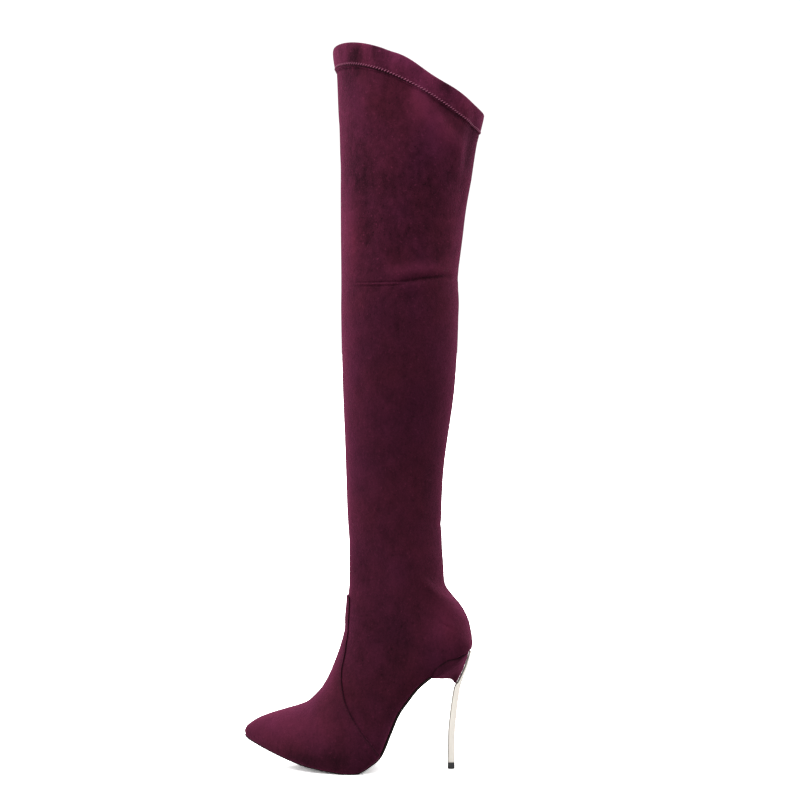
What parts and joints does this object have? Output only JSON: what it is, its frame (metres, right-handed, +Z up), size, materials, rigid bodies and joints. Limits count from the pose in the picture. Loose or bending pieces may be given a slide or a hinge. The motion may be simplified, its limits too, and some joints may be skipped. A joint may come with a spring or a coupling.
{
  "type": "high-heeled boot",
  "caption": "Over-the-knee boot, hollow and open at the top, with a pointed toe, a thin arched sole and a slim metal heel under a small covered cup.",
  "frame": {"origin": "on the floor under the ball of the foot, at the sole's flat spot", "axes": "+Z up, -X towards the toe, +X towards the heel, +Y towards the inner side of the left foot"},
  "size_m": [0.2406, 0.1346, 0.7199],
  "materials": {
    "suede": "matte",
    "sole_leather": "satin",
    "insole_leather": "satin",
    "heel_metal": "polished",
    "lift_rubber": "matte"
  },
  "bodies": {
    "root": {"upper": "suede", "vamp": "suede", "collar_band": "suede", "insole": "insole_leather", "outsole": "sole_leather", "heel_cup": "suede", "heel_pin": "heel_metal", "top_lift": "lift_rubber"}
  },
  "joints": []
}
